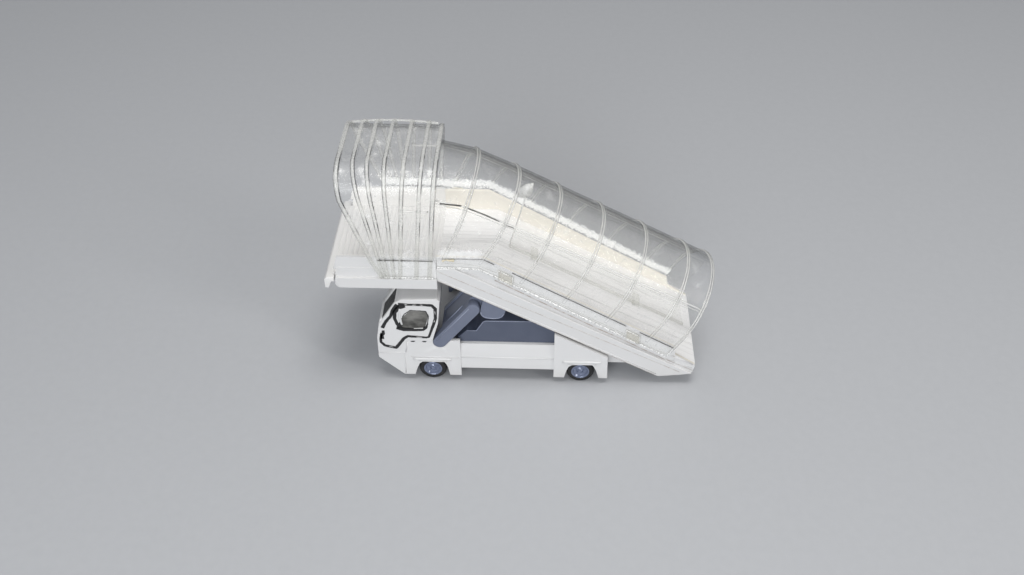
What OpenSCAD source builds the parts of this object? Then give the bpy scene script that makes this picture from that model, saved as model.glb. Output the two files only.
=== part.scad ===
// Self-propelled passenger stairs with a clear covered flight, a miniature of about 1:200.
// Sizes are in millimetres. While drawing, x runs backwards from a datum at the cab's rear
// edge, y from the left side (-) to the right side (+), z up from the table.
// Every node is then moved so that the middle of the finished machine stands on the origin.

/* [Part] */
// Node to build

/* [Chassis] */
// Width over the skirts and the platform
overall_width = 15; // [12:0.1:18]
// Place of the front axle
front_axle_x = -1.68; // [-3:0.01:0]
// Distance between the axles
wheelbase = 18.7; // [16:0.1:21]
// Top of the skirts and of the cab's floor
skirt_top = 6.95; // [6:0.05:8]
// Bottom edge of the skirts beside the wheels
skirt_bottom = 0.93; // [0.5:0.01:1.6]
// Sunk deck between the skirts
deck_z = 6.1; // [5.5:0.05:6.6]
// Roof of the hollow under the chassis
belly_z = 3.75; // [3.6:0.05:4.2]
// Wall of the chassis shell
shell_wall = 0.6; // [0.4:0.05:1]

/* [Wheels] */
// Radius of the tyres
wheel_r = 1.75; // [1.5:0.01:2]
// Width of the tyres
tyre_width = 1.3; // [1:0.05:1.6]
// Radius of the wheel discs
hub_r = 1.15; // [0.9:0.01:1.3]
// Radius of the axle rods
axle_r = 0.35; // [0.25:0.01:0.5]
// Play of the axle rods in their saddles, on the radius
axle_play = 0.05; // [0.02:0.01:0.09]

/* [Cab] */
// Width of the half cab on the left side
cab_width = 4.2; // [3.6:0.1:5]
// Wall of the cab
cab_wall = 0.4; // [0.3:0.05:0.6]
// Depth of the glass below the outer skin
glass_inset = 0.08; // [0.02:0.01:0.2]

/* [Lift] */
// Width of the round-ended lift arms
arm_width = 1.64; // [1.2:0.02:2]
// Thickness of the lift arms across the machine
arm_thickness = 1.1; // [0.8:0.05:1.4]
// Width of each lift mast across the machine
mast_width = 3.7; // [3:0.1:4.5]

/* [Stairs] */
// Height of the platform's floor
floor_z = 17.06; // [16:0.01:18]
// Thickness of the floor
floor_t = 0.6; // [0.4:0.05:0.9]
// Where the level floor ends and the flight begins
steps_x = 6.2; // [5.6:0.1:7]
// Number of the fine treads on the flight
step_count = 25; // [20:1:30]
// Length of each tread
step_run = 1.01; // [0.9:0.01:1.1]
// Fall of the flight for each millimetre of its length
flight_fall = 0.559; // [0.5:0.005:0.6]
// Height of each tread's edge over the next tread
tread_edge = 0.07; // [0.03:0.01:0.15]
// Thickness of the flight
flight_t = 0.95; // [0.7:0.05:1.1]
// Place of the groove along each lane, from the middle
lane_groove = 2.95; // [1.5:0.05:4]
// Height of the handboards' level top
sill_z = 19.9; // [19:0.05:21]
// Where the level top bends down
sill_bend_x = 5.1; // [4:0.1:6]
// Lower end of the sloping top
sill_end = [28.55, 6.09];

/* [Canopies] */
// Thickness of the clear mouldings
clear_wall = 0.25; // [0.2:0.01:0.4]
// Step of the tunnel's sides in from the machine's sides
tunnel_inset = 0.45; // [0.3:0.01:0.8]
// Straight part of the tunnel's side over the bend of the sill, square to the slope
tunnel_side = 0.91; // [0.6:0.01:2]
// Slope of the tunnel's first short length
upper_slope = 14; // [8:0.5:18]
// Slope of its second length
middle_slope = 26; // [20:0.5:27]
// Slope of its long third length
crown_slope = 28.3; // [27:0.1:30.5]
// Lean of the first two hoops
hoop_leans = [23, 30.5];
// Places of the further hoops along the sloping sill
hoop_steps = [5.55, 11.45, 17.45, 23.5];
// Width of the hoops
hoop_width = 0.34; // [0.2:0.01:0.6]
// Height of the hoops over the skin
hoop_height = 0.14; // [0.05:0.01:0.2]
// Step of the hood's sides in from the machine's sides
hood_inset = 0.1; // [0.05:0.01:0.2]
// Lean of the hood's sides, inwards going up, in degrees
hood_lean = 4.5; // [0:0.5:8]
// Height of the hood
hood_top = 30.9; // [30:0.05:33]
// Radius of the hood's shoulders
hood_shoulder = 3.4; // [2:0.1:4]

/* [Hidden] */
$fn = 96;
// flat facets round the tunnel's half circle
arch_facets = 36;
half = overall_width / 2;
hood_half = half - hood_inset;
tunnel_half = half - tunnel_inset;
slope = atan2(sill_z - sill_end[1], sill_end[0] - sill_bend_x);
slope_length = norm([sill_end[0] - sill_bend_x, sill_z - sill_end[1]]);
rear_axle_x = front_axle_x + wheelbase;
block_face = half - 0.1;
board_half = tunnel_half - clear_wall;
// lower edge of the clear skirts over the level tops, and the ledge between the coamings' upper bands
skirt_low = sill_z - 1.5;
ledge_z = floor_z + 1.29;
front_x = -13.75;
end_side = tunnel_side + slope_length * tan(slope - crown_slope);
rear_x = sill_end[0] + (end_side + (tunnel_half + hoop_height) / cos(slope - crown_slope)) * sin(slope);
mid_x = (front_x + rear_x) / 2;
// the board's lower edge falls from here to there
edge_top = [-0.4, 16.55];
edge_end = [26.6, 1.35];
edge_fall = (edge_top[1] - edge_end[1]) / (edge_end[0] - edge_top[0]);
function edge_z(x) = edge_top[1] - (x - edge_top[0]) * edge_fall;

// moves a drawn piece to its place about the origin
module placed() translate([-mid_x, 0, 0]) children();

// a side view drawn in x and z, made solid from y0 to y1
module side_view(y0, y1)
  translate([0, y1, 0]) rotate([90, 0, 0]) linear_extrude(y1 - y0) children();

// a cross view drawn in y and z, made solid from x0 to x1
module cross_view(x0, x1)
  translate([x0, 0, 0]) rotate([90, 0, 90]) linear_extrude(x1 - x0) children();

// the left piece as drawn, the right one mirrored
module on_side(right) if (right) mirror([0, 1, 0]) children(); else children();

// side view of the whole shell: apron, front block, middle skirt, rear block
module shell_side() polygon([
  [-8.35, 5.8], [-8.35, 3.9], [-5.31, skirt_bottom], [1.95, skirt_bottom], [1.95, 2.1],
  [13.65, 2.1], [13.65, skirt_bottom], [20.45, skirt_bottom], [20.35, edge_z(20.35) - 0.3],
  [13.65, edge_z(13.65) - 0.3], [13.65, skirt_top], [-4.73, skirt_top], [-4.78, 5.8]]);

// wheel arches, opened downwards
module arches() {
  polygon([[-4.0, 0], [-3.94, 0.99], [-3.58, 2.18], [-3.3, 2.85], [-2.89, 3.2], [-0.22, 3.28],
    [0.05, 2.9], [0.28, 2.31], [0.5, 0.93], [0.5, 0]]);
  polygon([[14.98, 0], [14.98, 0.92], [15.26, 2.14], [15.5, 2.8], [15.91, 3.15], [18.41, 3.28],
    [18.7, 2.9], [18.99, 2.26], [19.37, 0.89], [19.37, 0]]);
}

// the middle skirt stands back from the blocks, its upper half leaning inwards
module skirt_setback() polygon([
  [-half - 1, 0], [-half + 0.3, 0], [-half + 0.3, 4.2], [-half + 0.75, skirt_top + 0.1],
  [-half - 1, skirt_top + 0.1]]);

module chassis_shell() color("white") difference() {
  union() {
    side_view(-block_face, block_face) shell_side();
    // raised lips over the arches
    for (x = [-4.02, 14.76]) for (s = [0, 1]) on_side(s == 1)
      translate([x, -half, 3.55]) cube([4.8, 1, 0.3]);
  }
  side_view(-half - 1, half + 1) arches();
  for (s = [0, 1]) on_side(s == 1) cross_view(1.95, 13.65) skirt_setback();
  // shallow hollow from below for the wheels and the base
  translate([-4.6, -block_face + shell_wall, -1])
    cube([24.4, 2 * (block_face - shell_wall), 1 + belly_z]);
  // sunk deck
  side_view(-block_face + 0.5, block_face - 0.5) polygon([
    [1.3, deck_z], [1.3, 9], [25, 9], [25, deck_z - 2.2], [19.9, deck_z - 1.35], [17.6, deck_z]]);
  translate([-1.3, -block_face + 0.5, deck_z]) cube([3, 2 * block_face - 1, 3]);
  translate([-4.2, -half + cab_width + 0.6, deck_z]) cube([3, 2 * half - cab_width - 1.2, 3]);
  // notches for the feet of the lift arms
  for (s = [0, 1]) on_side(s == 1) side_view(-half - 1, -half + arm_in + arm_thickness + 0.05) arm_outline(0.05);
  // room for the wheels above the arches
  for (x = [front_axle_x, rear_axle_x])
    translate([x, half - 0.25, wheel_r]) rotate([90, 0, 0]) cylinder(h = 2 * half - 0.5, r = 2.05);
}

// plate under the deck with a saddle block at each end of both axles
module chassis_base() color("dimgray") difference() {
  union() {
    translate([-4, -4.4, belly_z - 0.8]) cube([23.4, 8.8, 0.8]);
    for (x = [front_axle_x, rear_axle_x]) for (y = [-4.4, 2.8])
      translate([x - 0.9, y, 1.0]) cube([1.8, 1.6, 2.2]);
  }
  for (x = [front_axle_x, rear_axle_x])
    translate([x, 6, wheel_r]) rotate([90, 0, 0]) cylinder(h = 12, r = axle_r + axle_play);
}

// block behind the shell that carries the lower half of the flight
module rear_frame() color("white") side_view(-board_half + 0.9, board_half - 0.9) polygon([
  [20.45, 2.3], [24.6, 2.3], [25.6, 2.75], [26.0, 3.3], [26.0, under_z(26.0)], [20.45, under_z(20.45)]]);

module cab_side() polygon([
  [-8.35, 5.8], [-4.78, 5.8], [-4.73, skirt_top], [-1.45, skirt_top], [-0.6, 10.0],
  [-0.25, 13.5], [-0.6, 13.9], [-4.8, 13.75], [-5.7, 13.2], [-7.91, 9.6], [-8.3, 7.4]]);

module cab_inside() polygon([
  [-7.85, 7.3], [-4.4, 7.3], [-1.75, 7.4], [-1.0, 10.0], [-0.68, 13.2], [-0.9, 13.45],
  [-4.7, 13.3], [-5.4, 12.9], [-7.5, 9.5]]);

module side_window() polygon([
  [-4.93, 10.89], [-3.84, 12.03], [-1.92, 11.93], [-1.77, 11.2], [-1.99, 10.12],
  [-2.25, 9.16], [-5.64, 8.79], [-5.75, 9.2]]);

// the raked windscreen, taken out between two thin pillars
module windscreen(grow, y0, y1) side_view(y0, y1) polygon([
  [-7.75 - grow, 9.95], [-5.75 - grow, 13.15 + grow * 0.6], [-5.3, 12.9], [-7.35, 9.65]]);

module cab_shell() color("white") difference() {
  side_view(-half, -half + cab_width) cab_side();
  side_view(-half + cab_wall, -half + cab_width - cab_wall) cab_inside();
  side_view(-half - 1, -half + 1) side_window();
  windscreen(1, -half + cab_wall, -half + cab_width - cab_wall);
}

module cab_glazing() color("dimgray") union() {
  side_view(-half + cab_wall, -half + cab_width - cab_wall) cab_inside();
  side_view(-half + glass_inset, -half + cab_wall + 0.1) side_window();
  windscreen(0, -half + cab_wall, -half + cab_width - cab_wall);
}

module engine_pod() color("slategray") side_view(-half + 1, half - 1) polygon([
  [1.4, 6.5], [1.4, deck_z], [15.9, deck_z], [15.9, 7.1], [12.4, 9.05], [11.4, 9.69],
  [5.4, 9.69], [5.05, 9.6], [4.85, 9.44], [4.0, 7.95], [3.8, 7.85], [2.73, 7.95]]);

// centre line of the lift: round ends of the arms
arm_low = [-0.56, 6.67];
arm_high = [3.7, 12.18];
lift_angle = atan2(arm_high[1] - arm_low[1], arm_high[0] - arm_low[0]);
lift_length = norm(arm_high - arm_low);

module lift_bar(length_to, back)
  translate([arm_low[0], arm_low[1]]) rotate(lift_angle)
    translate([-back, -arm_width / 2]) square([length_to + back, arm_width]);

// outer face of the arms, in from the machine's side
arm_in = 0.08;
module arm_outline(grow) let (r = arm_width / 2 + grow) polygon(concat(
  [for (a = [-90 : 7.5 : 90]) arm_high + r * [cos(lift_angle + a), sin(lift_angle + a)]],
  [for (a = [90 : 7.5 : 270]) arm_low + r * [cos(lift_angle + a), sin(lift_angle + a)]]));

module lift_arm() color("slategray")
  side_view(-half + arm_in, -half + arm_in + arm_thickness) arm_outline(0);

module lift_mast() color("slategray") difference() {
  side_view(-half + arm_in + arm_thickness, -half + arm_in + arm_thickness + mast_width)
    intersection() {
      lift_bar(20, 3);
      polygon([[-0.3, deck_z], [3.0, deck_z], [9, under_z(9)], [under_head, floor_z - floor_t],
        [2, floor_z - floor_t], [-0.3, 9.5]]);
    }
  // long hollow in the upper face
  translate([arm_low[0], 0, arm_low[1]]) rotate([0, -lift_angle, 0])
    translate([1.6, -half + arm_in + arm_thickness + 0.6, arm_width / 2 - 0.2])
      cube([6, mast_width - 1.2, 1]);
}

// lug under each handboard, with a rounded lower edge
module bracket() color("slategray") side_view(-half + 0.5, -half + arm_in + arm_thickness - 0.02) polygon([
  [4.95, edge_z(4.95)], [7.66, edge_z(7.66)], [7.66, 11.9], [7.5, 11.3], [7.18, 10.82],
  [6.75, 10.56], [6.2, 10.48], [5.4, 10.56], [4.95, 10.75], [4.68, 11.05], [4.56, 11.5], [4.66, 12.3]]);

// side view of a handboard between the floor's height and its lower edge
module board_side() polygon([
  edge_top, edge_end, [26.9, 1.22], [29.5, 1.55], [31.2, 1.85], [31.4, 3.0],
  [28.75, 4.75], sill_end, [sill_bend_x, sill_z], [edge_top[0], sill_z]]);

module board_band(low, high) polygon([
  [edge_top[0], edge_top[1] + low], [40, edge_z(40) + low],
  [40, edge_z(40) + high], [edge_top[0], edge_top[1] + high]]);

module stringer() color("white") union() {
  side_view(-board_half, -board_half + 0.45) board_side();
  // smooth band proud of the board along its lower edge
  side_view(-board_half - 0.35, -board_half) intersection() {
    board_side();
    board_band(0, 3.0);
    translate([-1, 0]) square([40, skirt_low - 0.05]);
  }
  side_view(-board_half - 0.1, -board_half) intersection() {
    board_side();
    board_band(-1, 6);
    translate([28.75, 0]) square([3, 6]);
  }
}

// upper side and underside of the flight
function flight_z(x) = floor_z - (x - steps_x) * flight_fall;
function under_z(x) = flight_z(x) - flight_t;
under_head = steps_x - (flight_t - floor_t) / flight_fall;
steps_end = steps_x + step_count * step_run;

tread_points = [for (i = [1 : step_count]) each let (x = steps_x + i * step_run) [
  [x, flight_z(x) + tread_edge / 2], [x, flight_z(x) - tread_edge / 2]]];

module stair_flight() color("white") difference() {
  side_view(-board_half + 0.45, board_half - 0.45) polygon(concat(
    [[-0.4, floor_z - floor_t], [-0.4, floor_z], [steps_x, floor_z]], tread_points,
    [[steps_end, flight_z(steps_end) - 0.5], [steps_end - 1, under_z(steps_end - 1)],
     [under_head, floor_z - floor_t]]));
  // one fine groove along each lane
  for (y = [-lane_groove, lane_groove]) side_view(y - 0.06, y + 0.06) polygon([
    [steps_x + 0.3, flight_z(steps_x + 0.3) - 0.1], [steps_end + 1, flight_z(steps_end + 1) - 0.1],
    [steps_end + 1, flight_z(steps_end + 1) + 1], [steps_x + 0.3, flight_z(steps_x + 0.3) + 1]]);
}

module platform_deck() color("white") union() {
  side_view(-half + 0.9, half - 0.9) polygon([
    [-13.4, floor_z - floor_t], [-0.4, floor_z - floor_t], [-0.4, floor_z], [-13.4, floor_z]]);
  // fine cross ribs
  for (i = [0 : 19]) translate([-12.9 + i * 0.62, -half + 0.9, floor_z]) cube([0.2, 2 * half - 1.8, 0.08]);
  // bumper lip turned down across the front
  side_view(-half, half) polygon([
    [-13.5, floor_z], [front_x, 16.75], [front_x, 15.47], [-13.35, 15.47], [-12.95, floor_z - floor_t],
    [-12.6, floor_z - floor_t], [-12.6, floor_z]]);
}

module coaming_side(low, high) polygon([
  [-12.6, low], [-0.4, low], [-0.4, high], [-12.5 + (high - 15.5) * 0.1, high]]);

module platform_coaming() color("white") difference() {
  union() {
    side_view(-half, -half + 0.9) coaming_side(floor_z - 1.51, floor_z - 0.06);
    side_view(-hood_half + clear_wall + 0.02, -half + 0.9) coaming_side(floor_z - 1, ledge_z);
    side_view(-hood_half + clear_wall + 0.12, -half + 0.9) coaming_side(ledge_z - 0.3, sill_z);
  }
  side_view(-half - 1, -half + 2) difference() {
    translate([-13, floor_z - 2]) square([1.2, 1.19]);
    translate([-11.8, floor_z - 0.81]) circle(r = 0.7);
  }
}

// cross section of the hood: upright skirts to hood_foot, then leaning sides, round shoulders
hood_foot = 19.5;
module hood_section(grow, w) {
  x = hood_half + grow - w;
  z = hood_top + grow - w;
  r = hood_shoulder + grow - w;
  // centre of the shoulder's arc, which touches the leaning side and the roof
  cz = z - r;
  cx = x - (cz + r * sin(hood_lean) - hood_foot) * tan(hood_lean) - r * cos(hood_lean);
  arc = [for (i = [0 : 12]) let (a = hood_lean + (90 - hood_lean) * i / 12) [cx + r * cos(a), cz + r * sin(a)]];
  polygon(concat([[-x, 10], [x, 10], [x, hood_foot]], arc,
    [for (i = [12 : -1 : 0]) [-arc[i][0], arc[i][1]]], [[-x, hood_foot]]));
}

// side outline of the hood: raked front rim, rear frame leaning back
hood_front = [[-6.95, 17.0], [-7.36, 17.8], [-8.2, 19.83], [-10.95, 27.5], [-11.3, 30.0], [-11.3, 33]];
hood_rear = [[0.3, 33], [0.2, 31.9], [-0.75, 20.3], [-0.4, 19.3], [-0.4, 17.0]];
module hood_outline() polygon(concat(hood_front, hood_rear));

function frame_x(z) = -0.75 + (z - 20.3) * 0.95 / 11.6;

// ribs of the hood fan out upwards: [x at the foot, x at the shoulder]
hood_ribs = [[-7.13, -9.4], [-6.45, -7.75], [-5.49, -5.8], [-4.48, -3.6], [-2.55, -1.6]];

module strip(low, high, w) polygon([
  low - [w / 2, 0], low + [w / 2, 0], high + [w / 2, 0], high - [w / 2, 0]]);

module rib_strips() {
  for (r = hood_ribs) let (d = (r[1] - r[0]) / 11.4)
    strip([r[0] - 3.1 * d, 17], [r[1] + 1.5 * d, 33], 0.3);
  for (i = [0 : 4]) strip(hood_front[i] + [0.15, 0], hood_front[i + 1] + [0.15, 0], 0.3);
  strip([frame_x(20.3) - 0.25, 20.3], [frame_x(33) - 0.25, 33], 0.5);
}

// room for the tunnel through the hood's end frame
module tunnel_bore() translate([upper_spring[0], 0, upper_spring[1]]) rotate([0, upper_slope, 0])
  cross_view(-9, 6) polygon(concat([[tunnel_half, -12]],
    [for (i = [0 : arch_facets]) let (a = 180 * i / arch_facets) tunnel_half * [cos(a), sin(a)]], [[-tunnel_half, -12]]));

module canopy_hood() color("lightcyan", 0.4) {
  intersection() {
    difference() {
      cross_view(-12, 2) hood_section(0, 0);
      cross_view(-13, 3) hood_section(0, clear_wall);
    }
    side_view(-9, 9) hood_outline();
  }
  intersection() {
    difference() {
      cross_view(-12, 2) hood_section(0.1, 0);
      cross_view(-13, 3) hood_section(0, 0.1);
    }
    side_view(-9, 9) intersection() { hood_outline(); rib_strips(); }
  }
  // end frame between the hood and the narrower tunnel
  difference() {
    intersection() {
      cross_view(-12, 2) hood_section(0, 0.1);
      side_view(-9, 9) intersection() {
        hood_outline();
        strip([frame_x(20.3) - 0.15, 20.3], [frame_x(33) - 0.15, 33], 0.3);
      }
    }
    tunnel_bore();
    translate([-3, -board_half, 15]) cube([6, 2 * board_half, 8]);
  }
}

// the tunnel is three straight lengths of one section, met on leaning planes through two hoop feet
main_at = [sill_bend_x, sill_z];
joint_feet = [[0.5, sill_z], main_at];
joint_leans = hoop_leans;

// where a line from p falling at angle a meets the plane through foot leaning by l
function meet(p, a, foot, l) = let (n = [cos(l), -sin(l)], d = [cos(a), -sin(a)])
  p + d * (((foot - p) * n) / (d * n));

main_spring = main_at + tunnel_side * [sin(slope), cos(slope)];
middle_spring = meet(main_spring, crown_slope, joint_feet[1], joint_leans[1]);
upper_spring = meet(middle_spring, middle_slope, joint_feet[0], joint_leans[0]);

// a station across the tunnel: [point on the spring line, lean of its plane, slope of its length]
frame_lean = atan(0.95 / 11.6);
frame_foot = [-0.75, 20.3];
function at_joint(i, dx = 0) = let (on_upper = dx < 0, j = joint_feet[i] + [dx, 0],
    p = i == 0 ? upper_spring : middle_spring,
    a = i == 0 ? (on_upper ? upper_slope : middle_slope) : (on_upper ? middle_slope : crown_slope))
  [meet(p, a, j, joint_leans[i]), joint_leans[i], a];
function on_slope(u) = [meet(main_spring, crown_slope, main_at + u * [cos(slope), -sin(slope)], slope), slope, crown_slope];
function side_at(u) = tunnel_side + u * tan(slope - crown_slope);
frame_station = [meet(upper_spring, upper_slope, frame_foot, frame_lean), frame_lean, upper_slope];

// closed outline of the wall at a station, from radius r_in to r_out, down to depth below the spring line
function half_arch(r, depth) = concat([[r, -depth]],
  [for (i = [0 : arch_facets]) let (a = 180 * i / arch_facets) [r * cos(a), r * sin(a)]], [[-r, -depth]]);
function backwards(v) = [for (i = [len(v) - 1 : -1 : 0]) v[i]];
function wall_loop(st, r_out, r_in, depth) =
  [for (q = concat(half_arch(r_out, depth), backwards(half_arch(r_in, depth))))
    let (k = q[1] / cos(st[1] - st[2]))
    [st[0][0] + k * sin(st[1]), q[0], st[0][1] + k * cos(st[1])]];

// wall of the tunnel through a row of stations
module arch_loft(stations, r_out, r_in, depth) {
  n = 2 * (arch_facets + 3);
  m = len(stations);
  polyhedron(points = [for (st = stations) each wall_loop(st, r_out, r_in, depth)],
    faces = concat([for (i = [0 : arch_facets + 1]) [i, i + 1, n - 2 - i, n - 1 - i]],
      [for (i = [0 : arch_facets + 1]) let (e = (m - 1) * n) [e + i + 1, e + i, e + n - 1 - i, e + n - 2 - i]],
      [for (k = [0 : m - 2]) for (i = [0 : n - 1])
        [k * n + i, (k + 1) * n + i, (k + 1) * n + (i + 1) % n, k * n + (i + 1) % n]]), convexity = 6);
}

// side outline of the upright sides, with the skirt over the handboards
skirt_drop = 1.78;
module skirt_outline() let (c = [cos(slope), -sin(slope)], s = [sin(slope), cos(slope)], l = slope_length - 0.05)
  polygon([[-0.35, skirt_low], [main_at[0] - 0.507, skirt_low], main_at + c * l - s * skirt_drop,
    main_at + c * l + s * (side_at(l) - 0.1), at_joint(1)[0] - [0, 0.1], at_joint(0)[0] - [0, 0.1],
    frame_station[0] + [0.03, -0.1], frame_foot + [0.03, 0], [-0.35, 19.4]]);

module canopy_tunnel() color("lightcyan", 0.4) {
  r = tunnel_half;
  arch_loft([frame_station, at_joint(0), at_joint(1), on_slope(slope_length - 0.03)], r, r - clear_wall, 0.8);
  // a hair thinner than the arch, so that no two faces lie in one plane
  for (s = [0, 1]) on_side(s == 1) side_view(-r + 0.01, -r + clear_wall - 0.01) skirt_outline();
  // hoops
  for (i = [0, 1]) arch_loft([at_joint(i, -hoop_width / 2), at_joint(i), at_joint(i, hoop_width / 2)],
    r + hoop_height, r - 0.1, norm(at_joint(i)[0] - joint_feet[i]) + 0.8);
  for (u = concat(hoop_steps, [slope_length - hoop_width / 2]))
    arch_loft([on_slope(u - hoop_width / 2), on_slope(u + hoop_width / 2)],
      r + hoop_height, r - 0.1, side_at(u) + 0.8);
}

// clear screen between the two lanes of the flight
module centre_screen() color("lightcyan", 0.4)
  let (c = [cos(slope), -sin(slope)], s = [sin(slope), cos(slope)],
    inner = tunnel_half - clear_wall - 0.02)
  side_view(-0.12, 0.12) polygon([
    [7.8, flight_z(7.8) + tread_edge / 2], [30.4, flight_z(30.4) + tread_edge / 2], [30.0, 5.1],
    main_at + c * (slope_length - 1.2) + s * 3.5,
    main_at + c * (slope_length - 1.2) + s * (side_at(slope_length - 1.2) + inner),
    main_at + c * 1.6 + s * (side_at(1.6) + inner)]);

module axle(x) color("silver") translate([x, half - 0.75, wheel_r]) rotate([90, 0, 0])
  cylinder(h = 2 * half - 1.5, r = axle_r);

// half section of a wheel disc: [radius, depth from the outer face]
module hub(x) color("lightslategray") translate([x, -half + 0.3, wheel_r]) rotate([-90, 0, 0])
  rotate_extrude() polygon([
    [0, 0.12], [0.22, 0.12], [0.28, 0.2], [0.5, 0.36], [0.82, 0.3], [0.95, 0.06], [1.05, 0],
    [hub_r, 0.05], [hub_r, tyre_width], [axle_r, tyre_width], [axle_r, 0.45], [0, 0.45]]);

module tyre(x) color("black") translate([x, -half + 0.35, wheel_r]) rotate([-90, 0, 0])
  rotate_extrude() polygon([
    [hub_r, 0], [1.5, 0], [1.66, 0.06], [wheel_r, 0.22], [wheel_r, tyre_width - 0.22],
    [1.66, tyre_width - 0.06], [1.5, tyre_width], [hub_r, tyre_width]]);

placed() chassis_shell();
placed() chassis_base();
placed() rear_frame();
placed() cab_shell();
placed() cab_glazing();
placed() engine_pod();
placed() on_side(false) lift_arm();  // lift_arm_left
placed() on_side(true) lift_arm();  // lift_arm_right
placed() on_side(false) lift_mast();  // lift_mast_left
placed() on_side(true) lift_mast();  // lift_mast_right
placed() on_side(false) bracket();  // bracket_left
placed() on_side(true) bracket();  // bracket_right
placed() on_side(false) stringer();  // stringer_left
placed() on_side(true) stringer();  // stringer_right
placed() stair_flight();
placed() platform_deck();
placed() on_side(false) platform_coaming();  // platform_coaming_left
placed() on_side(true) platform_coaming();  // platform_coaming_right
placed() canopy_hood();
placed() canopy_tunnel();
placed() centre_screen();
placed() axle(front_axle_x);  // front_axle
placed() axle(rear_axle_x);  // rear_axle
placed() on_side(false) hub(front_axle_x);  // hub_front_left
placed() on_side(true) hub(front_axle_x);  // hub_front_right
placed() on_side(false) hub(rear_axle_x);  // hub_rear_left
placed() on_side(true) hub(rear_axle_x);  // hub_rear_right
placed() on_side(false) tyre(front_axle_x);  // tyre_front_left
placed() on_side(true) tyre(front_axle_x);  // tyre_front_right
placed() on_side(false) tyre(rear_axle_x);  // tyre_rear_left
placed() on_side(true) tyre(rear_axle_x);  // tyre_rear_right
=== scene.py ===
import bpy, bmesh, math
from mathutils import Matrix, Vector, noise


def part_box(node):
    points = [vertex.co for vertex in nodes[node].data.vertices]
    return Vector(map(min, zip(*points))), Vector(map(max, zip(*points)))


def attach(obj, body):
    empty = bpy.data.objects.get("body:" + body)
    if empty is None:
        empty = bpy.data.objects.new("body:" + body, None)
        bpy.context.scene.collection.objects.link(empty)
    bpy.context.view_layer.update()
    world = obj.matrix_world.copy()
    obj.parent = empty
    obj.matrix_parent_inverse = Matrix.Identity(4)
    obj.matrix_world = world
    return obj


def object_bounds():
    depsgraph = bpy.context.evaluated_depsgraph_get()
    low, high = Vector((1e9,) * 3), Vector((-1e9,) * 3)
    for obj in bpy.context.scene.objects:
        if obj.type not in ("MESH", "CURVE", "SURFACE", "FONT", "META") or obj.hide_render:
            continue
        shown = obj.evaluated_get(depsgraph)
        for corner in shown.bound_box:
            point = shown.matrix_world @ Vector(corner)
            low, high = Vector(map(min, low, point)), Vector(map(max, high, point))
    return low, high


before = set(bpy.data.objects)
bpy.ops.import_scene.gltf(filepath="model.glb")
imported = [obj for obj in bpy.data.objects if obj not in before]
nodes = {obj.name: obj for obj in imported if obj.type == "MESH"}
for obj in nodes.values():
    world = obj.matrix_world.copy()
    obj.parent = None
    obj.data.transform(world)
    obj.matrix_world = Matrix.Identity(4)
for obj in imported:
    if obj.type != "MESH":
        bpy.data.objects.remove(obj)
cad_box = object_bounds()

# Camera: stands in front of the left side, well above the machine, and looks down on it. Its
# angles are the photograph's: 41.5 degrees down, turned and tipped by a hair.
down, turned, tipped = math.radians(41.47), math.radians(-2.39), math.radians(-0.43)
camera_stands = (0.002664, -0.101467, 0.09920)
ahead = Vector((math.sin(turned) * math.cos(down), math.cos(turned) * math.cos(down),
    -math.sin(down)))
level_side = ahead.cross(Vector((0, 0, 1))).normalized()
level_up = level_side.cross(ahead)
side = level_side * math.cos(tipped) + level_up * math.sin(tipped)
upright = level_up * math.cos(tipped) - level_side * math.sin(tipped)
camera = bpy.data.objects.new("camera", bpy.data.cameras.new("camera"))
camera.data.lens, camera.data.sensor_width = 37.43, 36
camera.data.clip_start, camera.data.clip_end = 0.01, 10
camera.matrix_world = (Matrix.Translation(camera_stands)
    @ Matrix((side, upright, -ahead)).transposed().to_4x4())
bpy.context.scene.collection.objects.link(camera)
bpy.context.scene.camera = camera
# six clear walls one behind the other pass light through a dozen and more faces
bpy.context.scene.cycles.transparent_max_bounces = 40
bpy.context.scene.view_settings.view_transform = "Standard"

# Light: a wide soft box overhead, a smaller one low on the right that draws the long lines on
# the clear tunnel, a dim panel behind the camera, and a pale room all round.
def soft_box(name, stands, looks_at, width, depth, watts, tint):
    lamp = bpy.data.lights.new(name, "AREA")
    lamp.shape, lamp.size, lamp.size_y = "RECTANGLE", width, depth
    lamp.energy, lamp.color = watts, tint
    box = bpy.data.objects.new(name, lamp)
    box.location = stands
    box.rotation_euler = (Vector(looks_at) - Vector(stands)).to_track_quat("-Z", "Y").to_euler()
    bpy.context.scene.collection.objects.link(box)

soft_box("overhead", stands=(0.02, -0.03, 0.30), looks_at=(0, 0, 0.01),
    width=0.16, depth=0.11, watts=0.42, tint=(1, 0.985, 0.96))
soft_box("right_low", stands=(0.24, -0.16, 0.17), looks_at=(0.01, 0, 0.015),
    width=0.035, depth=0.10, watts=0.18, tint=(1, 0.98, 0.95))
soft_box("behind_camera", stands=(-0.06, -0.34, 0.16), looks_at=(0, 0, 0.01),
    width=0.24, depth=0.14, watts=0.80, tint=(0.96, 0.98, 1))
room = bpy.data.worlds.new("room")
room.use_nodes = True
walls = room.node_tree.nodes["Background"]
walls.inputs["Color"].default_value = (0.80, 0.82, 0.85, 1)
walls.inputs["Strength"].default_value = 0.34
bpy.context.scene.world = room


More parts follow.
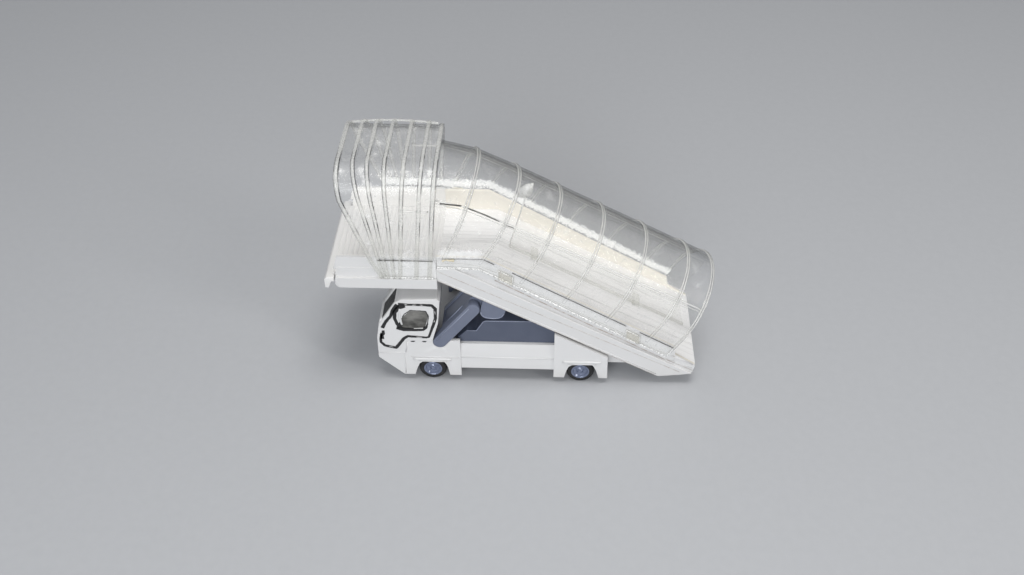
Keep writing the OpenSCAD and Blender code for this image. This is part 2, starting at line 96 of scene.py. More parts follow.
# Table: a plain pale board with a faint tooth, wide enough for every view. Value and Finish,
# which all finishes below are written with, are here because the board comes first.
class Value:
    """A socket of a finish; a sum, product or comparison on it adds a Math node."""

    def __init__(self, finish, socket):
        self.finish, self.socket = finish, socket

    def worked(self, operation, *terms):
        return self.finish.node("Math", {"operation": operation}, dict(enumerate(terms)))

    def __add__(self, other):
        return self.worked("ADD", self, other)

    def __sub__(self, other):
        return self.worked("SUBTRACT", self, other)

    def __rsub__(self, other):
        return self.worked("SUBTRACT", other, self)

    def __mul__(self, other):
        return self.worked("MULTIPLY", self, other)

    def __pow__(self, other):
        return self.worked("POWER", self, other)

    def __gt__(self, other):
        return self.worked("GREATER_THAN", self, other)

    def __abs__(self):
        return self.worked("ABSOLUTE", self)

    def least(self, other):
        return self.worked("MINIMUM", self, other)

    def most(self, other):
        return self.worked("MAXIMUM", self, other)

    __radd__, __rmul__ = __add__, __mul__


class Finish:
    """A material in the making. place is the point on the piece in millimetres."""

    def __init__(self, name):
        self.material = bpy.data.materials.new(name)
        self.material.use_nodes = True
        self.tree = self.material.node_tree
        self.tree.nodes.clear()
        spot = self.node("TexCoord", {}, {}, "Object")
        self.place = self.node("VectorMath", {"operation": "SCALE"}, {0: spot, "Scale": 1000})

    def node(self, kind, settings, sockets, out=0):
        """Adds a node: first its settings, then the values or links of its sockets."""
        added = self.tree.nodes.new("ShaderNode" + kind)
        for key, value in settings.items():
            setattr(added, key, value)
        for key, value in sockets.items():
            if isinstance(value, Value):
                self.tree.links.new(value.socket, added.inputs[key])
            elif added.inputs[key].type == "RGBA":
                added.inputs[key].default_value = (*value, 1)
            else:
                added.inputs[key].default_value = value
        return Value(self, added.outputs[out])

    def along(self, axis):
        """How far the point lies along X, Y or Z, in millimetres."""
        return self.node("SeparateXYZ", {}, {0: self.place}, axis)

    def facing(self, axis):
        """How much the face looks along X, Y or Z, from -1 to 1."""
        return self.node("SeparateXYZ", {}, {0: self.node("TexCoord", {}, {}, "Normal")}, axis)

    def pressed(self, by):
        """place with each axis multiplied, so that grain comes out as streaks."""
        return self.node("VectorMath", {"operation": "MULTIPLY"}, {0: self.place, 1: by})

    def grain(self, scale, detail=2.0, rough=0.5, where=None):
        return self.node("TexNoise", {}, {"Vector": where or self.place, "Scale": scale,
            "Detail": detail, "Roughness": rough})

    def blend(self, amount, low, high):
        return self.node("Mix", {"data_type": "RGBA"}, {0: amount, 6: low, 7: high}, 2)

    def step(self, value, low, high):
        """0 below low, 1 above high, smooth between."""
        return self.node("MapRange", {"interpolation_type": "SMOOTHSTEP"},
            {"Value": value, "From Min": low, "From Max": high})

    def bump(self, height, strength, distance=0.00005):
        return self.node("Bump", {},
            {"Height": height, "Strength": strength, "Distance": distance})

    def plastic(self, sockets):
        return self.node("BsdfPrincipled", {}, sockets)

    def seen_through(self, colour):
        return self.node("BsdfTransparent", {}, {"Color": colour})

    def mixed(self, amount, first, second):
        return self.node("MixShader", {}, {0: amount, 1: first, 2: second})

    def ends_in(self, surface):
        end = self.tree.nodes.new("ShaderNodeOutputMaterial")
        self.tree.links.new(surface.socket, end.inputs["Surface"])
        return self.material


def table_board():
    f = Finish("table_board")
    tooth = f.grain(0.9, 4, 0.6)
    return f.ends_in(f.plastic({
        "Base Color": f.blend(tooth, (0.44, 0.45, 0.47), (0.48, 0.49, 0.51)),
        "Roughness": 0.55 + 0.1 * tooth, "Normal": f.bump(tooth, 0.05)}))

half_table = 0.9
top = bmesh.new()
bmesh.ops.create_grid(top, x_segments=8, y_segments=8, size=half_table)
table = bpy.data.objects.new("table", bpy.data.meshes.new("table"))
top.to_mesh(table.data)
top.free()
table.data.materials.append(table_board())
bpy.context.scene.collection.objects.link(table)


# Chassis shell: one white moulding with satin, faintly orange-peeled faces. Its long edges are
# soft from the mould. It has fine specks of dust, and is darker and duller towards the table.
board_inside = 6.62, 6.74  # how far out a board's inner side ends

def white_moulding(name, tone, warm, gloss, inner=None):
    """White plastic, cloudy from tone to warm. Boards give inner, the cream of painted shade
    on their insides under the canopy.
    """
    f = Finish(name)
    cloud = f.grain(0.35, 3)
    peel = f.grain(9, 2, 0.6)
    speck = f.step(f.grain(3.1, 5, 0.7), 0.66, 0.78)
    low = 1 - f.step(f.along("Z"), 0.6, 3.2)
    colour = f.blend(cloud, tone, warm)
    # a board's inside is painted cream: painted shade under the canopy
    if inner:
        colour = f.blend(1 - f.step(abs(f.along("Y")), *board_inside), colour, inner)
    colour = f.blend(0.35 * low * cloud + 0.12 * speck, colour, (0.52, 0.50, 0.46))
    return f.ends_in(f.plastic({"Base Color": colour, "Roughness": gloss + 0.16 * peel + 0.1 * low,
        "Specular IOR Level": 0.45, "Coat Weight": 0.12, "Coat Roughness": 0.25,
        "Normal": f.bump(peel, 0.12, 0.00003)}))

weld_reach, mould_edge = 2e-7, math.radians(32)

def softened(node, radius):
    """Rounds the moulded edges of a CAD node with modifiers; its mesh stays as packed."""
    node.modifiers.new("weld", "WELD").merge_threshold = weld_reach
    edge = node.modifiers.new("edge", "BEVEL")
    edge.width, edge.segments = radius / 1000, 2
    edge.limit_method, edge.angle_limit = "ANGLE", mould_edge
    edge.use_clamp_overlap, edge.harden_normals = True, False
    even = node.modifiers.new("even", "WEIGHTED_NORMAL")
    even.keep_sharp, even.weight = False, 80

def finished(names, finish, radius=None):
    """Gives CAD nodes their finish, and edges rounded to a radius in millimetres."""
    for name in names:
        nodes[name].data.materials.clear()
        nodes[name].data.materials.append(finish)
        if radius:
            softened(nodes[name], radius)

body_white = white_moulding("body_white", (0.70, 0.70, 0.705), (0.675, 0.67, 0.665), 0.36)
finished(["chassis_shell", "rear_frame"], body_white, 0.08)

# Base: a black plate pushed up under the shell, with saddle blocks for the two axles. It is
# matt and gritty from the mould.
def black_moulding():
    f = Finish("base_black")
    grit = f.grain(7, 3)
    return f.ends_in(f.plastic({
        "Base Color": f.blend(grit, (0.018, 0.018, 0.02), (0.04, 0.04, 0.042)),
        "Roughness": 0.55 + 0.2 * grit, "Normal": f.bump(grit, 0.2)}))

finished(["chassis_base"], black_moulding(), 0.05)

# Axles: drawn steel rod lying in the saddles of the base. Fine scratches run round it, from
# turning in them.
def drawn_steel():
    f = Finish("drawn_steel")
    lines = f.grain(6, 3, 0.6, f.pressed((1, 12, 1)))
    return f.ends_in(f.plastic({
        "Base Color": f.blend(lines, (0.42, 0.42, 0.43), (0.62, 0.62, 0.62)),
        "Metallic": 1.0, "Roughness": 0.25 + 0.2 * lines}))

finished(["front_axle", "rear_axle"], drawn_steel())

# Wheels: dished discs in blue-grey gloss plastic, pushed on the ends of the axles, with dusty
# black tyres pressed over them.
def wheel_disc_blue():
    f = Finish("wheel_disc_blue")
    haze = f.grain(2.2, 3)
    peel = f.grain(14, 2)
    return f.ends_in(f.plastic({
        "Base Color": f.blend(haze, (0.13, 0.155, 0.235), (0.20, 0.23, 0.33)),
        "Roughness": 0.16 + 0.12 * haze, "Metallic": 0.25,
        "Coat Weight": 0.5, "Coat Roughness": 0.08, "Normal": f.bump(peel, 0.15)}))

def tyre_black():
    f = Finish("tyre_black")
    grit = f.grain(11, 3)
    dust = f.step(f.grain(1.3, 4), 0.5, 0.75)
    return f.ends_in(f.plastic({
        "Base Color": f.blend(0.35 * dust, (0.010, 0.010, 0.011), (0.06, 0.058, 0.055)),
        "Roughness": 0.5 + 0.25 * grit, "Normal": f.bump(grit, 0.3)}))

disc_blue = wheel_disc_blue()
discs = [f"hub_{end}_{hand}" for end in ("front", "rear") for hand in ("left", "right")]
finished(discs, disc_blue, 0.03)
finished([name.replace("hub", "tyre") for name in discs], tyre_black(), 0.04)

# Wheel nuts: five low round heads stand in the dish of every disc, moulded with it in the same
# blue-grey plastic.
def made(name, mesh, finish, body="machine", smooth=True):
    """Ends a mesh as a piece with its finish, riding on a body."""
    piece = bpy.data.objects.new(name, bpy.data.meshes.new(name))
    bmesh.ops.recalc_face_normals(mesh, faces=mesh.faces)
    for face in mesh.faces:
        face.smooth = smooth
    mesh.to_mesh(piece.data)
    mesh.free()
    piece.data.materials.append(finish)
    bpy.context.scene.collection.objects.link(piece)
    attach(piece, body)

def dome(mesh, centre, radius, squeeze, fineness):
    """A ball at centre, squeezed by a factor along each axis."""
    ball = bmesh.ops.create_icosphere(mesh, subdivisions=fineness, radius=radius / 1000)
    for v in ball["verts"]:
        v.co = v.co * Vector(squeeze) + centre

nut_count, nut_circle, nut_radius = 5, 0.56, 0.10
dish_y, first_nut = 6.89, 0.3
for end in ("front", "rear"):
    low_corner, high_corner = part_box(f"{end}_axle")
    axle_middle = (low_corner + high_corner) / 2
    for hand_name, hand in (("left", -1), ("right", 1)):
        heads = bmesh.new()
        for i in range(nut_count):
            turn = 2 * math.pi * i / nut_count + first_nut
            off_axle = Vector((nut_circle * math.cos(turn), hand * dish_y,
                nut_circle * math.sin(turn))) / 1000
            dome(heads, axle_middle + off_axle, nut_radius, (1, 0.7, 1), 2)
        made(f"nuts_{end}_{hand_name}", heads, disc_blue, f"{end}_wheelset")

# Shell relief: raised lips over the arches, the crease of the middle skirt and the fine panel
# lines of the front block are moulded in the shell's white. A round lamp in a ring near each
# front corner and a bumper line are guessed, because the front is out of the shot.
front_x = -13.75

def at(x, y, z):
    """A point from millimetres. x runs back from the cab's rear edge, and front_x is where the
    whole model begins."""
    return Vector((cad_box[0][0] + (x - front_x) / 1000, y / 1000, z / 1000))

ragged_parts, lumps_in_metre = 9, 2300

def bead(mesh, path, radius, sides=8, flat=1.0, away=(0, 1, 0), ragged=0.0):
    """A round bead swept along points in millimetres. away is the direction off the wall, or
    gives it for the point's number; flat squeezes the bead towards the wall."""
    if ragged:
        path = [tuple(a + (b - a) * k / ragged_parts for a, b in zip(p, q))
            for p, q in zip(path, path[1:]) for k in range(ragged_parts)]
    points = [at(*p) for p in path]
    corners = [2 * math.pi * k / sides for k in range(sides)]
    rings = []
    for i, p in enumerate(points):
        run = points[min(i + 1, len(points) - 1)] - points[max(i - 1, 0)]
        run.normalize()
        out = Vector(away(i) if callable(away) else away)
        out = (out - run * out.dot(run)).normalized()
        sideways = run.cross(out)
        swell = radius / 1000 * (1 + ragged * noise.noise(p * lumps_in_metre))
        rings.append([mesh.verts.new(p + swell * (math.cos(turn) * sideways
            + flat * math.sin(turn) * out)) for turn in corners])
    for low, high in zip(rings, rings[1:]):
        for k in range(sides):
            after = (k + 1) % sides
            mesh.faces.new((low[k], low[after], high[after], high[k]))
    mesh.faces.new(rings[0][::-1])
    mesh.faces.new(rings[-1])

def drawn_at(y, line):
    """The points of a line of (x, z) on the upright plane at y."""
    return [(x, y, z) for x, z in line]

forward, arch_y = (1, 0, 0), 7.45
arch_lip = ((-4.05, 3.72), (-3.6, 3.74), (0.50, 3.72), (0.75, 3.66))
arch_fold = ((-3.3, 3.42), (0.2, 3.40))
panel_lines = (  # how far out, radius, flatness, points (x, z)
    (7.40, 0.06, 1.0, ((-4.4, 4.05), (1.75, 4.12))),
    (7.19, 0.10, 0.8, ((2.0, 3.98), (13.6, 3.98))),
    (7.39, 0.09, 1.0, ((-8.25, 4.70), (-4.97, 4.79), (-5.10, 2.2), (-5.14, 1.1))),
    (7.39, 0.09, 1.0, ((-4.52, 6.75), (-4.90, 4.85))))
apron_x, lamp_y, lamp_z, lamp_ring, lamp_radius = -8.36, 5.9, 4.95, 0.55, 0.45
relief = bmesh.new()
for hand in (-1, 1):
    for arch_x in (0, 18.78):
        for line, radius, flat in ((arch_lip, 0.19, 0.55), (arch_fold, 0.13, 0.7)):
            bead(relief, [(arch_x + x, hand * arch_y, z) for x, z in line], radius, 8, flat)
    for out_y, radius, flat, line in panel_lines:
        bead(relief, drawn_at(hand * out_y, line), radius, 6, flat)
    eighths = [k * math.pi / 8 for k in range(17)]
    bead(relief, [(apron_x, hand * lamp_y + lamp_ring * math.cos(turn),
        lamp_z + lamp_ring * math.sin(turn)) for turn in eighths], 0.08, 6, 1.0, forward)
    dome(relief, at(apron_x + 0.01, hand * lamp_y, lamp_z), lamp_radius, (0.35, 1, 1), 3)
bead(relief, [(apron_x, y, 4.08) for y in (-7.2, -3, 0, 3, 7.2)], 0.10, 6, 1.0, forward)
made("shell_relief", relief, body_white)

# Cab: a half cab on the left side, moulded in the body's white and cut out at its windows. A
# smoky dark plug, pushed in from below, forms all its glazing.
def smoky_glazing():
    f = Finish("smoky_glazing")
    streak = f.grain(0.8, 3, 0.55, f.pressed((0.7, 1, 1.3)))
    smear = f.step(streak, 0.35, 0.70)
    # the side window is greyer than the windscreen, and greyest in its upper part: a painted
    # reflection over the real smears
    beside = abs(f.facing("Y")) > 0.7
    high = f.step(f.along("Z"), 8.9, 12.4)
    grey = (0.02 + 0.98 * beside) * (0.12 + 0.40 * smear + 0.48 * high)
    return f.ends_in(f.plastic({
        "Base Color": f.blend(grey, (0.010, 0.010, 0.010), (0.27, 0.265, 0.25)),
        "Roughness": 0.16 + 0.2 * smear, "Specular IOR Level": 0.03,
        "Coat Weight": 0.25 * beside, "Coat Roughness": 0.08, "Normal": f.bump(streak, 0.06)}))

finished(["cab_shell"], body_white, 0.06)
finished(["cab_glazing"], smoky_glazing(), 0.03)

# Windscreen ledge: a rounded white ledge is moulded across the foot of the windscreen, and the
# pillar on its far side is broad and slightly raised.
off_foot, off_pillar = (-0.848, 0, 0.53), (-0.852, 0, 0.523)
ledge = bmesh.new()
for x, z, radius in ((-7.62, 10.12, 0.34), (-7.80, 9.72, 0.20)):
    bead(ledge, [(x, y, z) for y in (-7.42, -7.0, -5.5, -4.0, -3.45)], radius, 8, 0.5, off_foot)
bead(ledge, drawn_at(-3.98, ((-7.60, 10.12), (-6.7, 11.58), (-5.75, 13.13))), 0.50, 8, 0.3,
    off_pillar)
made("windscreen_ledge", ledge, body_white)

# Cab lines: the door seam, window rubber and lamp block are put on by hand in black paint, a few
# hundredths thick, with a wavering edge where the brush ran dry.
cab_face, stroke_step, waver_scale, taper = -7.5, 0.16, 3.1, 0.93

def brushed(mesh, stroke, wander=0.035, lift=0.035):
    """A band of paint on the cab's left face through points of (x, z, width)."""
    fine = []
    for a, b in zip(stroke, stroke[1:]):
        parts = max(2, int(math.hypot(b[0] - a[0], b[1] - a[1]) / stroke_step))
        for t in (k / parts for k in range(parts)):
            fine.append([p + (q - p) * t for p, q in zip(a, b)])
    fine.append(stroke[-1])
    y_in, y_out = cab_face + 0.10, cab_face - lift
    rows = []
    for i, (x, z, width) in enumerate(fine):
        before, after = fine[max(i - 1, 0)], fine[min(i + 1, len(fine) - 1)]
        dx, dz = after[0] - before[0], after[1] - before[1]
        size = math.hypot(dx, dz) or 1
        nx, nz = -dz / size, dx / size
        left, right = (width / 2 + wander * noise.noise(Vector((x * waver_scale,
            z * waver_scale, seed))) for seed in (1.7, 8.3))
        rows.append([mesh.verts.new(at(x + nx * o, y, z + nz * o)) for o, y in
            ((left, y_in), (left * taper, y_out), (-right * taper, y_out), (-right, y_in))])
    for a, b in zip(rows, rows[1:]):
        for k in range(4):
            after = (k + 1) % 4
            mesh.faces.new((a[k], a[after], b[after], b[k]))
    mesh.faces.new(rows[0])
    mesh.faces.new(rows[-1][::-1])

def plate(mesh, corners, y_out, y_in):
    """A flat plate with the given (x, z) corners between two faces."""
    outer = [mesh.verts.new(at(x, y_out, z)) for x, z in corners]
    inner = [mesh.verts.new(at(x, y_in, z)) for x, z in corners]
    mesh.faces.new(outer)
    mesh.faces.new(inner[::-1])
    for i in range(len(corners)):
        k = (i + 1) % len(corners)
        mesh.faces.new((outer[i], inner[i], inner[k], outer[k]))

def black_paint_and_shadow():
    f = Finish("black_paint_and_shadow")
    wet = f.grain(3.5, 4, 0.6)
    wear_and_shade = f.step(f.grain(5, 5, 0.7), 0.70, 0.80)
    return f.ends_in(f.plastic({
        "Base Color": f.blend(0.5 * wear_and_shade, (0.012, 0.012, 0.013), (0.35, 0.35, 0.34)),
        "Roughness": 0.22 + 0.2 * wet, "Normal": f.bump(wet, 0.35)}))

door_seam = ((-5.25, 13.05, 0.42), (-3.96, 12.98, 0.32), (-2.18, 13.0, 0.36), (-1.2, 12.93, 0.42),
    (-0.82, 12.4, 0.46), (-0.86, 10.9, 0.40), (-1.10, 10.0, 0.38), (-1.84, 7.66, 0.30),
    (-2.18, 7.57, 0.28), (-4.46, 7.73, 0.38), (-4.96, 7.34, 0.44), (-6.05, 5.68, 0.44),
    (-7.44, 6.05, 0.40), (-7.85, 6.6, 0.36), (-7.87, 7.14, 0.36), (-7.66, 8.2, 0.30))
front_pillar = ((-5.35, 12.95, 0.60), (-5.95, 12.1, 0.52), (-6.35, 11.0, 0.42),
    (-7.0, 10.1, 0.42), (-7.5, 9.05, 0.50))
quarter_rubber = ((-4.45, 12.75, 0.42), (-5.25, 12.5, 0.66), (-5.80, 11.7, 0.52),
    (-5.86, 10.7, 0.44), (-5.62, 9.8, 0.44), (-5.30, 9.15, 0.46))
window_foot = ((-5.75, 9.12, 0.44), (-4.9, 8.84, 0.52), (-3.6, 8.80, 0.42), (-2.5, 8.86, 0.36),
    (-2.12, 9.2, 0.32), (-1.88, 9.9, 0.20))
window_head = ((-4.9, 10.98, 0.10), (-4.6, 11.45, 0.12), (-3.9, 12.07, 0.10), (-2.0, 12.0, 0.08),
    (-1.72, 11.2, 0.12), (-1.88, 9.9, 0.14))
lamp_block = ((-7.92, 7.22), (-7.42, 7.16), (-7.46, 7.75), (-7.26, 8.0), (-7.28, 8.62),
    (-7.62, 8.6), (-7.66, 8.05), (-7.92, 7.95))
lines = bmesh.new()
for stroke in (door_seam, front_pillar, quarter_rubber, window_foot, window_head):
    brushed(lines, stroke)
plate(lines, lamp_block, cab_face - 0.035, -7.4)
# two small dark marks under the door: painted shadows in the gap under the cab
for x, z in ((-3.91, 6.78), (-2.48, 6.78)):
    plate(lines, [(x - 0.30, z), (x - 0.18, z - 0.13), (x + 0.14, z - 0.13), (x + 0.32, z + 0.05),
        (x + 0.02, z + 0.07)], -7.42, -7.3)
made("cab_lines", lines, black_paint_and_shadow(), smooth=False)

# Window bar: a slim white bar stands in the quarter window between the black lines, and the
# white of the cab shows through the paint in a few scuffs.
bar = bmesh.new()
brushed(bar, ((-5.12, 12.3, 0.20), (-5.2, 11.75, 0.34), (-5.22, 10.9, 0.32), (-5.12, 10.2, 0.26),
    (-5.02, 9.7, 0.14)), wander=0.06, lift=0.09)
for x0, z0, x1, z1 in ((-4.5, 13.02, -4.15, 13.0), (-3.6, 12.95, -3.1, 13.0),
        (-2.6, 13.02, -2.3, 12.98), (-0.88, 12.1, -0.86, 11.5), (-1.0, 10.5, -1.08, 10.2),
        (-3.4, 7.66, -2.7, 7.6), (-6.9, 5.95, -6.4, 5.8)):
    brushed(bar, ((x0, z0, 0.04), ((x0 + x1) / 2, (z0 + z1) / 2, 0.09), (x1, z1, 0.04)), lift=0.06)
made("window_bar", bar, body_white)

# Pod and lift: the housing between the skirts, the lift's arms, masts and lugs are mouldings in
# blue-grey with a semi-gloss skin, glued in place. The housing is painted in a darker copy of
# the blue-grey, as painted shade under the flight.
def blue_grey(name, dark, light):
    f = Finish(name)
    cloud = f.grain(0.5, 4)
    peel = f.grain(7, 3)
    return f.ends_in(f.plastic({"Base Color": f.blend(cloud, dark, light),
        "Roughness": 0.30 + 0.14 * peel, "Coat Weight": 0.25, "Coat Roughness": 0.2,
        "Normal": f.bump(peel, 0.15)}))

lift_colour = blue_grey("blue_grey", (0.125, 0.145, 0.205), (0.165, 0.185, 0.25))
# the housing gets a darker copy of the blue-grey: painted shade under the flight
pod_shaded_colour = blue_grey("pod_grey_shaded", (0.062, 0.076, 0.118), (0.090, 0.105, 0.152))
finished(["engine_pod"], pod_shaded_colour, 0.12)
finished(["lift_arm_left", "lift_arm_right", "bracket_left", "bracket_right"], lift_colour, 0.16)
finished(["lift_mast_left", "lift_mast_right"], lift_colour, 0.08)

# Lift relief: rounded ridges run along the arms and masts, round the lugs and along the housing.
# They are moulded with them, and coloured a lighter blue-grey as a painted highlight.
ridge_lines = (  # how far out, radius, points (x, z)
    (7.40, 0.07, ((-0.85, 7.12), (3.25, 12.42))),
    (6.99, 0.08, ((4.60, 11.5), (4.71, 11.07), (4.98, 10.78), (5.4, 10.60), (6.2, 10.52),
        (6.75, 10.60), (7.16, 10.85), (7.44, 11.3))),
    (6.49, 0.07, ((2.75, 7.95), (3.98, 7.95), (4.82, 9.42), (5.1, 9.62), (11.3, 9.67))),
    (6.25, 0.08, ((0.5, 9.35), (2.4, 11.9))))
ridges = bmesh.new()
for hand in (-1, 1):
    for out_y, radius, line in ridge_lines:
        bead(ridges, drawn_at(hand * out_y, line), radius, 6)
# the lighter blue-grey of the ridges is a painted highlight along the edges
ridge_highlight = blue_grey("ridge_highlight_grey", (0.20, 0.225, 0.31), (0.27, 0.30, 0.39))
made("lift_ridges", ridges, ridge_highlight)

# Flight and platform: a second set of white mouldings, a touch warmer than the body, glued to
# each other edge to edge. The boards' inner faces are painted cream: painted shade of the canopy.
board_tones = (0.69, 0.69, 0.69), (0.66, 0.655, 0.65)
flight_white = white_moulding("flight_white", *board_tones, 0.40, inner=(0.80, 0.76, 0.68))
coaming_white = white_moulding("coaming_white", *board_tones, 0.40, inner=(0.80, 0.785, 0.76))
deck_white = white_moulding("deck_white", (0.78, 0.775, 0.765), (0.75, 0.74, 0.725), 0.42)

def flight_floor():
    """White with streaks down the slope, and painted shade beside the foot of the screen."""
    f = Finish("flight_floor")
    cloud = f.grain(0.4, 3)
    peel = f.grain(9, 2, 0.6)
    streak = f.grain(1.0, 4, 0.6, f.pressed((0.12, 3.2, 0.12)))
    # painted shade: the floor greys beside the foot of the screen
    beside = 1 - f.step(abs(f.along("Y")), 0.2, 2.2)
    wear_and_shade = 0.35 * f.step(streak, 0.45, 0.70) + 0.8 * beside * streak
    # a brighter white than the boards: painted light for the floor under the canopy
    unmarked = f.blend(cloud, (0.90, 0.895, 0.89), (0.86, 0.85, 0.845))
    return f.ends_in(f.plastic({"Base Color": f.blend(wear_and_shade, unmarked, (0.56, 0.555, 0.55)),
        "Roughness": 0.38 + 0.15 * peel, "Normal": f.bump(streak, 0.25)}))

finished(["stair_flight"], flight_floor(), 0.03)
finished(["stringer_left", "stringer_right"], flight_white, 0.07)
finished(["platform_coaming_left", "platform_coaming_right"], coaming_white, 0.07)
finished(["platform_deck"], deck_white, 0.04)

# Board beads: each side board has a smooth proud band along its lower edge, with a thin bead
# moulded above it, and two short lines across its rear end.
board_x, board_foot, board_fall = -0.4, 16.55, 0.56296

def edge_height(x):
    """Height of the boards' lower edge, which falls evenly from their front end."""
    return board_foot - (x - board_x) * board_fall

board_beads = bmesh.new()
for hand in (-1, 1):
    for rise, radius, first_x, out_y in ((3.12, 0.10, 2.9, 6.8), (0.34, 0.07, -0.2, 7.15)):
        bead(board_beads, [(x, hand * out_y, edge_height(x) + rise)
            for x in (first_x, 9, 15, 21, 26.6)], radius, 6)
    for drop in (0.6, 1.2):
        bead(board_beads, drawn_at(hand * 6.9, ((28.2 + 0.14 * drop, 5.6 - drop * 1.5),
            (31.05, 4.05 - drop * 1.2))), 0.06, 6)
made("board_beads", board_beads, flight_white)

# Board creases: the corners where the proud bands meet the boards hold painted shade and a
# little brown dust. They are drawn as hairlines that lie on the mouldings.
def crease_dust_and_shade():
    f = Finish("crease_dust_and_shade")
    # the creases are drawn dark: painted shade, mottled with brown dust
    dust = f.grain(1.8, 4, 0.6)
    return f.ends_in(f.plastic({
        "Base Color": f.blend(f.step(dust, 0.35, 0.65), (0.36, 0.30, 0.26), (0.60, 0.58, 0.56)),
        "Roughness": 0.5 + 0.2 * dust}))

crease_lines = (  # how far out, radius, points (x, z)
    (7.15, 0.030, ((-0.3, 18.05), (9.0, 12.98), (16.7, 8.95), (25.8, 4.10), (29.5, 2.12))),
    (6.90, 0.035, ((27.6, 4.07), (31.2, 2.18))),
    (6.90, 0.035, ((28.5, 4.64), (31.1, 3.20))),
    (6.80, 0.060, ((6.4, 16.55), (12.8, 12.70), (18.7, 9.15), (21.7, 7.46), (27.5, 3.98))),
    (7.15, 0.030, ((-0.3, 16.56), (10, 10.76), (26.4, 1.52))))
creases = bmesh.new()
for hand in (-1, 1):
    for out_y, radius, line in crease_lines:
        bead(creases, drawn_at(hand * out_y, line), radius, 6)
made("board_creases", creases, crease_dust_and_shade())

# Board seams: a dark, partly broken line of painted shade runs along the top of the boards and
# coamings, where the clear skirts hang over them, with dark marks at the feet of the hood's
# ribs. On the right it lies lower, down the outer face.
sill_z, bend_x, slope = 19.9, 5.1, math.radians(30.494)

def over_sill(u, s):
    """(x, z) at u down the sloping top of the boards and s square above it."""
    return (bend_x + u * math.cos(slope) + s * math.sin(slope),
        sill_z - u * math.sin(slope) + s * math.cos(slope))

def painted_seam_shade():
    f = Finish("painted_seam_shade")
    # the seam's dark is painted shade in the gap under the skirts, with lighter patches
    dry = f.grain(2.4, 3, 0.6)
    return f.ends_in(f.plastic({
        "Base Color": f.blend(f.step(dry, 0.60, 0.72), (0.045, 0.042, 0.038), (0.40, 0.37, 0.31)),
        "Roughness": 0.5 + 0.2 * dry}))

stretches = (  # radius, points (x, z)
    (0.025, ((0.3, sill_z), (2.4, sill_z), (bend_x, sill_z))),
    (0.045, (over_sill(0, 0), over_sill(1.5, 0))),
    (0.045, (over_sill(3.9, 0), over_sill(10, 0), over_sill(17, 0), over_sill(20.0, 0))),
    (0.05, (over_sill(22.0, 0), over_sill(27.0, 0))))
seams = bmesh.new()
for hand, seam_y, drop in ((-1, -7.05, 0), (1, 7.30, 0.45)):
    for radius, line in stretches:
        bead(seams, [(x, seam_y, z - drop) for x, z in line], radius, 6)
    bead(seams, drawn_at(hand * 7.40, ((-7.2, 19.76), (-4.5, 19.78), (-0.7, 19.78))), 0.05, 6)
    for x in (-7.05, -6.4, -5.45, -4.45):
        bead(seams, drawn_at(hand * 7.4, ((x, 19.80), (x + 0.2, 19.74))), 0.13, 6, 0.6)
seam_shade_finish = painted_seam_shade()
made("board_seams", seams, seam_shade_finish)


# Canopies: clear mouldings about a quarter of a millimetre thick. The faces are slightly
# rippled and greyer where they turn away. A ragged white band over the boards is a painted
# highlight.
sill_fall, bend_ahead = 0.589, 4.62

def over_boards(f):
    """How far a point is behind the bend of the boards and above their top, in millimetres."""
    behind = f.along("X") + bend_ahead
    return behind, f.along("Z") - sill_z + sill_fall * behind.most(0.0)

def clear_moulding(name, tint, cloudy, edge=(0.36, 0.37, 0.38), glint=0.015):
    """tint shows square on and edge at a slant; cloudy is how far old smudges fog it."""
    f = Finish(name)
    ripple = f.grain(1.1, 3, 0.55)
    fine = f.grain(5.5, 3, 0.6)
    normal = f.bump(ripple + 0.45 * fine, 0.6, 0.00012)
    slant = f.node("LayerWeight", {}, {"Blend": 0.5, "Normal": normal}, "Facing")
    smudge = f.step(f.grain(0.75, 6, 0.72), 0.54, 0.74)
    behind, above = over_boards(f)
    torn = above + 1.6 * (fine + f.grain(2.3, 5, 0.7) - 1.0)
    wall = f.step(abs(f.along("Y")), 6.2, 6.5)
    # the painted highlight band is left off the left side, but for half of it beside the landing
    landing = f.step(behind, -5.5, -4.5) * (1 - f.step(behind, -1.0, 0.5))
    unmarked = (1 - f.step(f.along("Y"), -1.0, 1.0)) * (1 - 0.5 * landing)
    # band: white haze in a ragged strip just over the boards, a painted highlight
    band = wall * f.step(torn, 0.0, 0.35) * (1 - f.step(torn, 1.05, 1.3)) * (1 - 0.95 * unmarked)
    # where the wall hangs over the boards, a faint white haze is painted on as painted light
    hang = wall * (1 - f.step(torn, -0.4, 0.0))
    fog = (cloudy * (0.15 + smudge) + 0.85 * band + 0.12 * hang).least(1.0)
    shine = f.plastic({"Base Color": (0.9, 0.9, 0.88), "Metallic": 1.0,
        "Roughness": 0.10 + 0.3 * smudge, "Normal": normal})
    haze = f.plastic({"Base Color": (0.93, 0.93, 0.92), "Roughness": 0.45})
    through = f.mixed(slant ** 2.5, f.seen_through(tint), f.seen_through(edge))
    skin = f.mixed(glint + 0.6 * slant ** 4.0, through, shine)
    return f.ends_in(f.mixed(fog, skin, haze))

def even_faced(node):
    """Smooths the shading between small facets with modifiers; the mesh stays as packed."""
    node.modifiers.new("weld", "WELD").merge_threshold = weld_reach
    node.modifiers.new("split", "EDGE_SPLIT").split_angle = math.radians(25)
    even = node.modifiers.new("even", "WEIGHTED_NORMAL")
    even.keep_sharp, even.weight = True, 60

